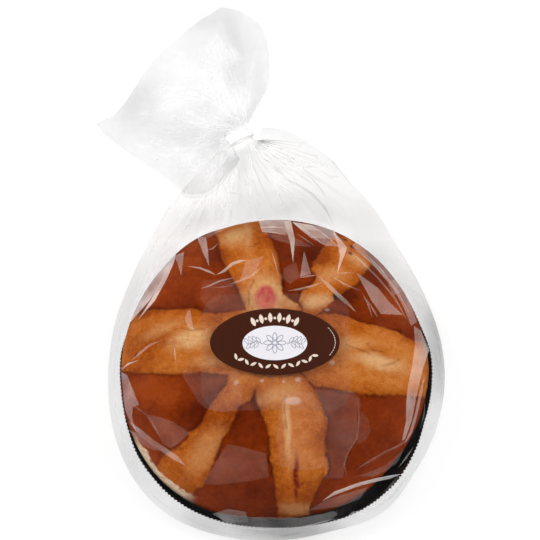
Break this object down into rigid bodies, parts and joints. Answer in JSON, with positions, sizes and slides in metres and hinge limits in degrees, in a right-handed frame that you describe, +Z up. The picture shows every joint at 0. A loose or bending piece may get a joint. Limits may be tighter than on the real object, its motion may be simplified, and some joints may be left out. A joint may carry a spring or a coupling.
{
  "type": "praline brioche",
  "caption": "Round domed brioche in a fluted baking case, lying in a clear bag that is gathered and closed with a band, with an oval label on top.",
  "frame": {"origin": "centre of the flat underside, below the middle of the loaf", "axes": "+Z up, +Y from the loaf towards the gathered neck and the tail, +X to the right as seen from the front"},
  "size_m": [0.2264, 0.3587, 0.0792],
  "materials": {
    "film": "thin clear film, crisp facets and pleats, over golden brown crust",
    "label_clear": "thin clear sheet, faintly milky",
    "label_print": "smooth dark brown print",
    "band": "smooth white"
  },
  "bodies": {
    "root": {"bag": "film", "label_sheet": "label_clear", "label": "label_print", "tie": "band"}
  },
  "joints": []
}
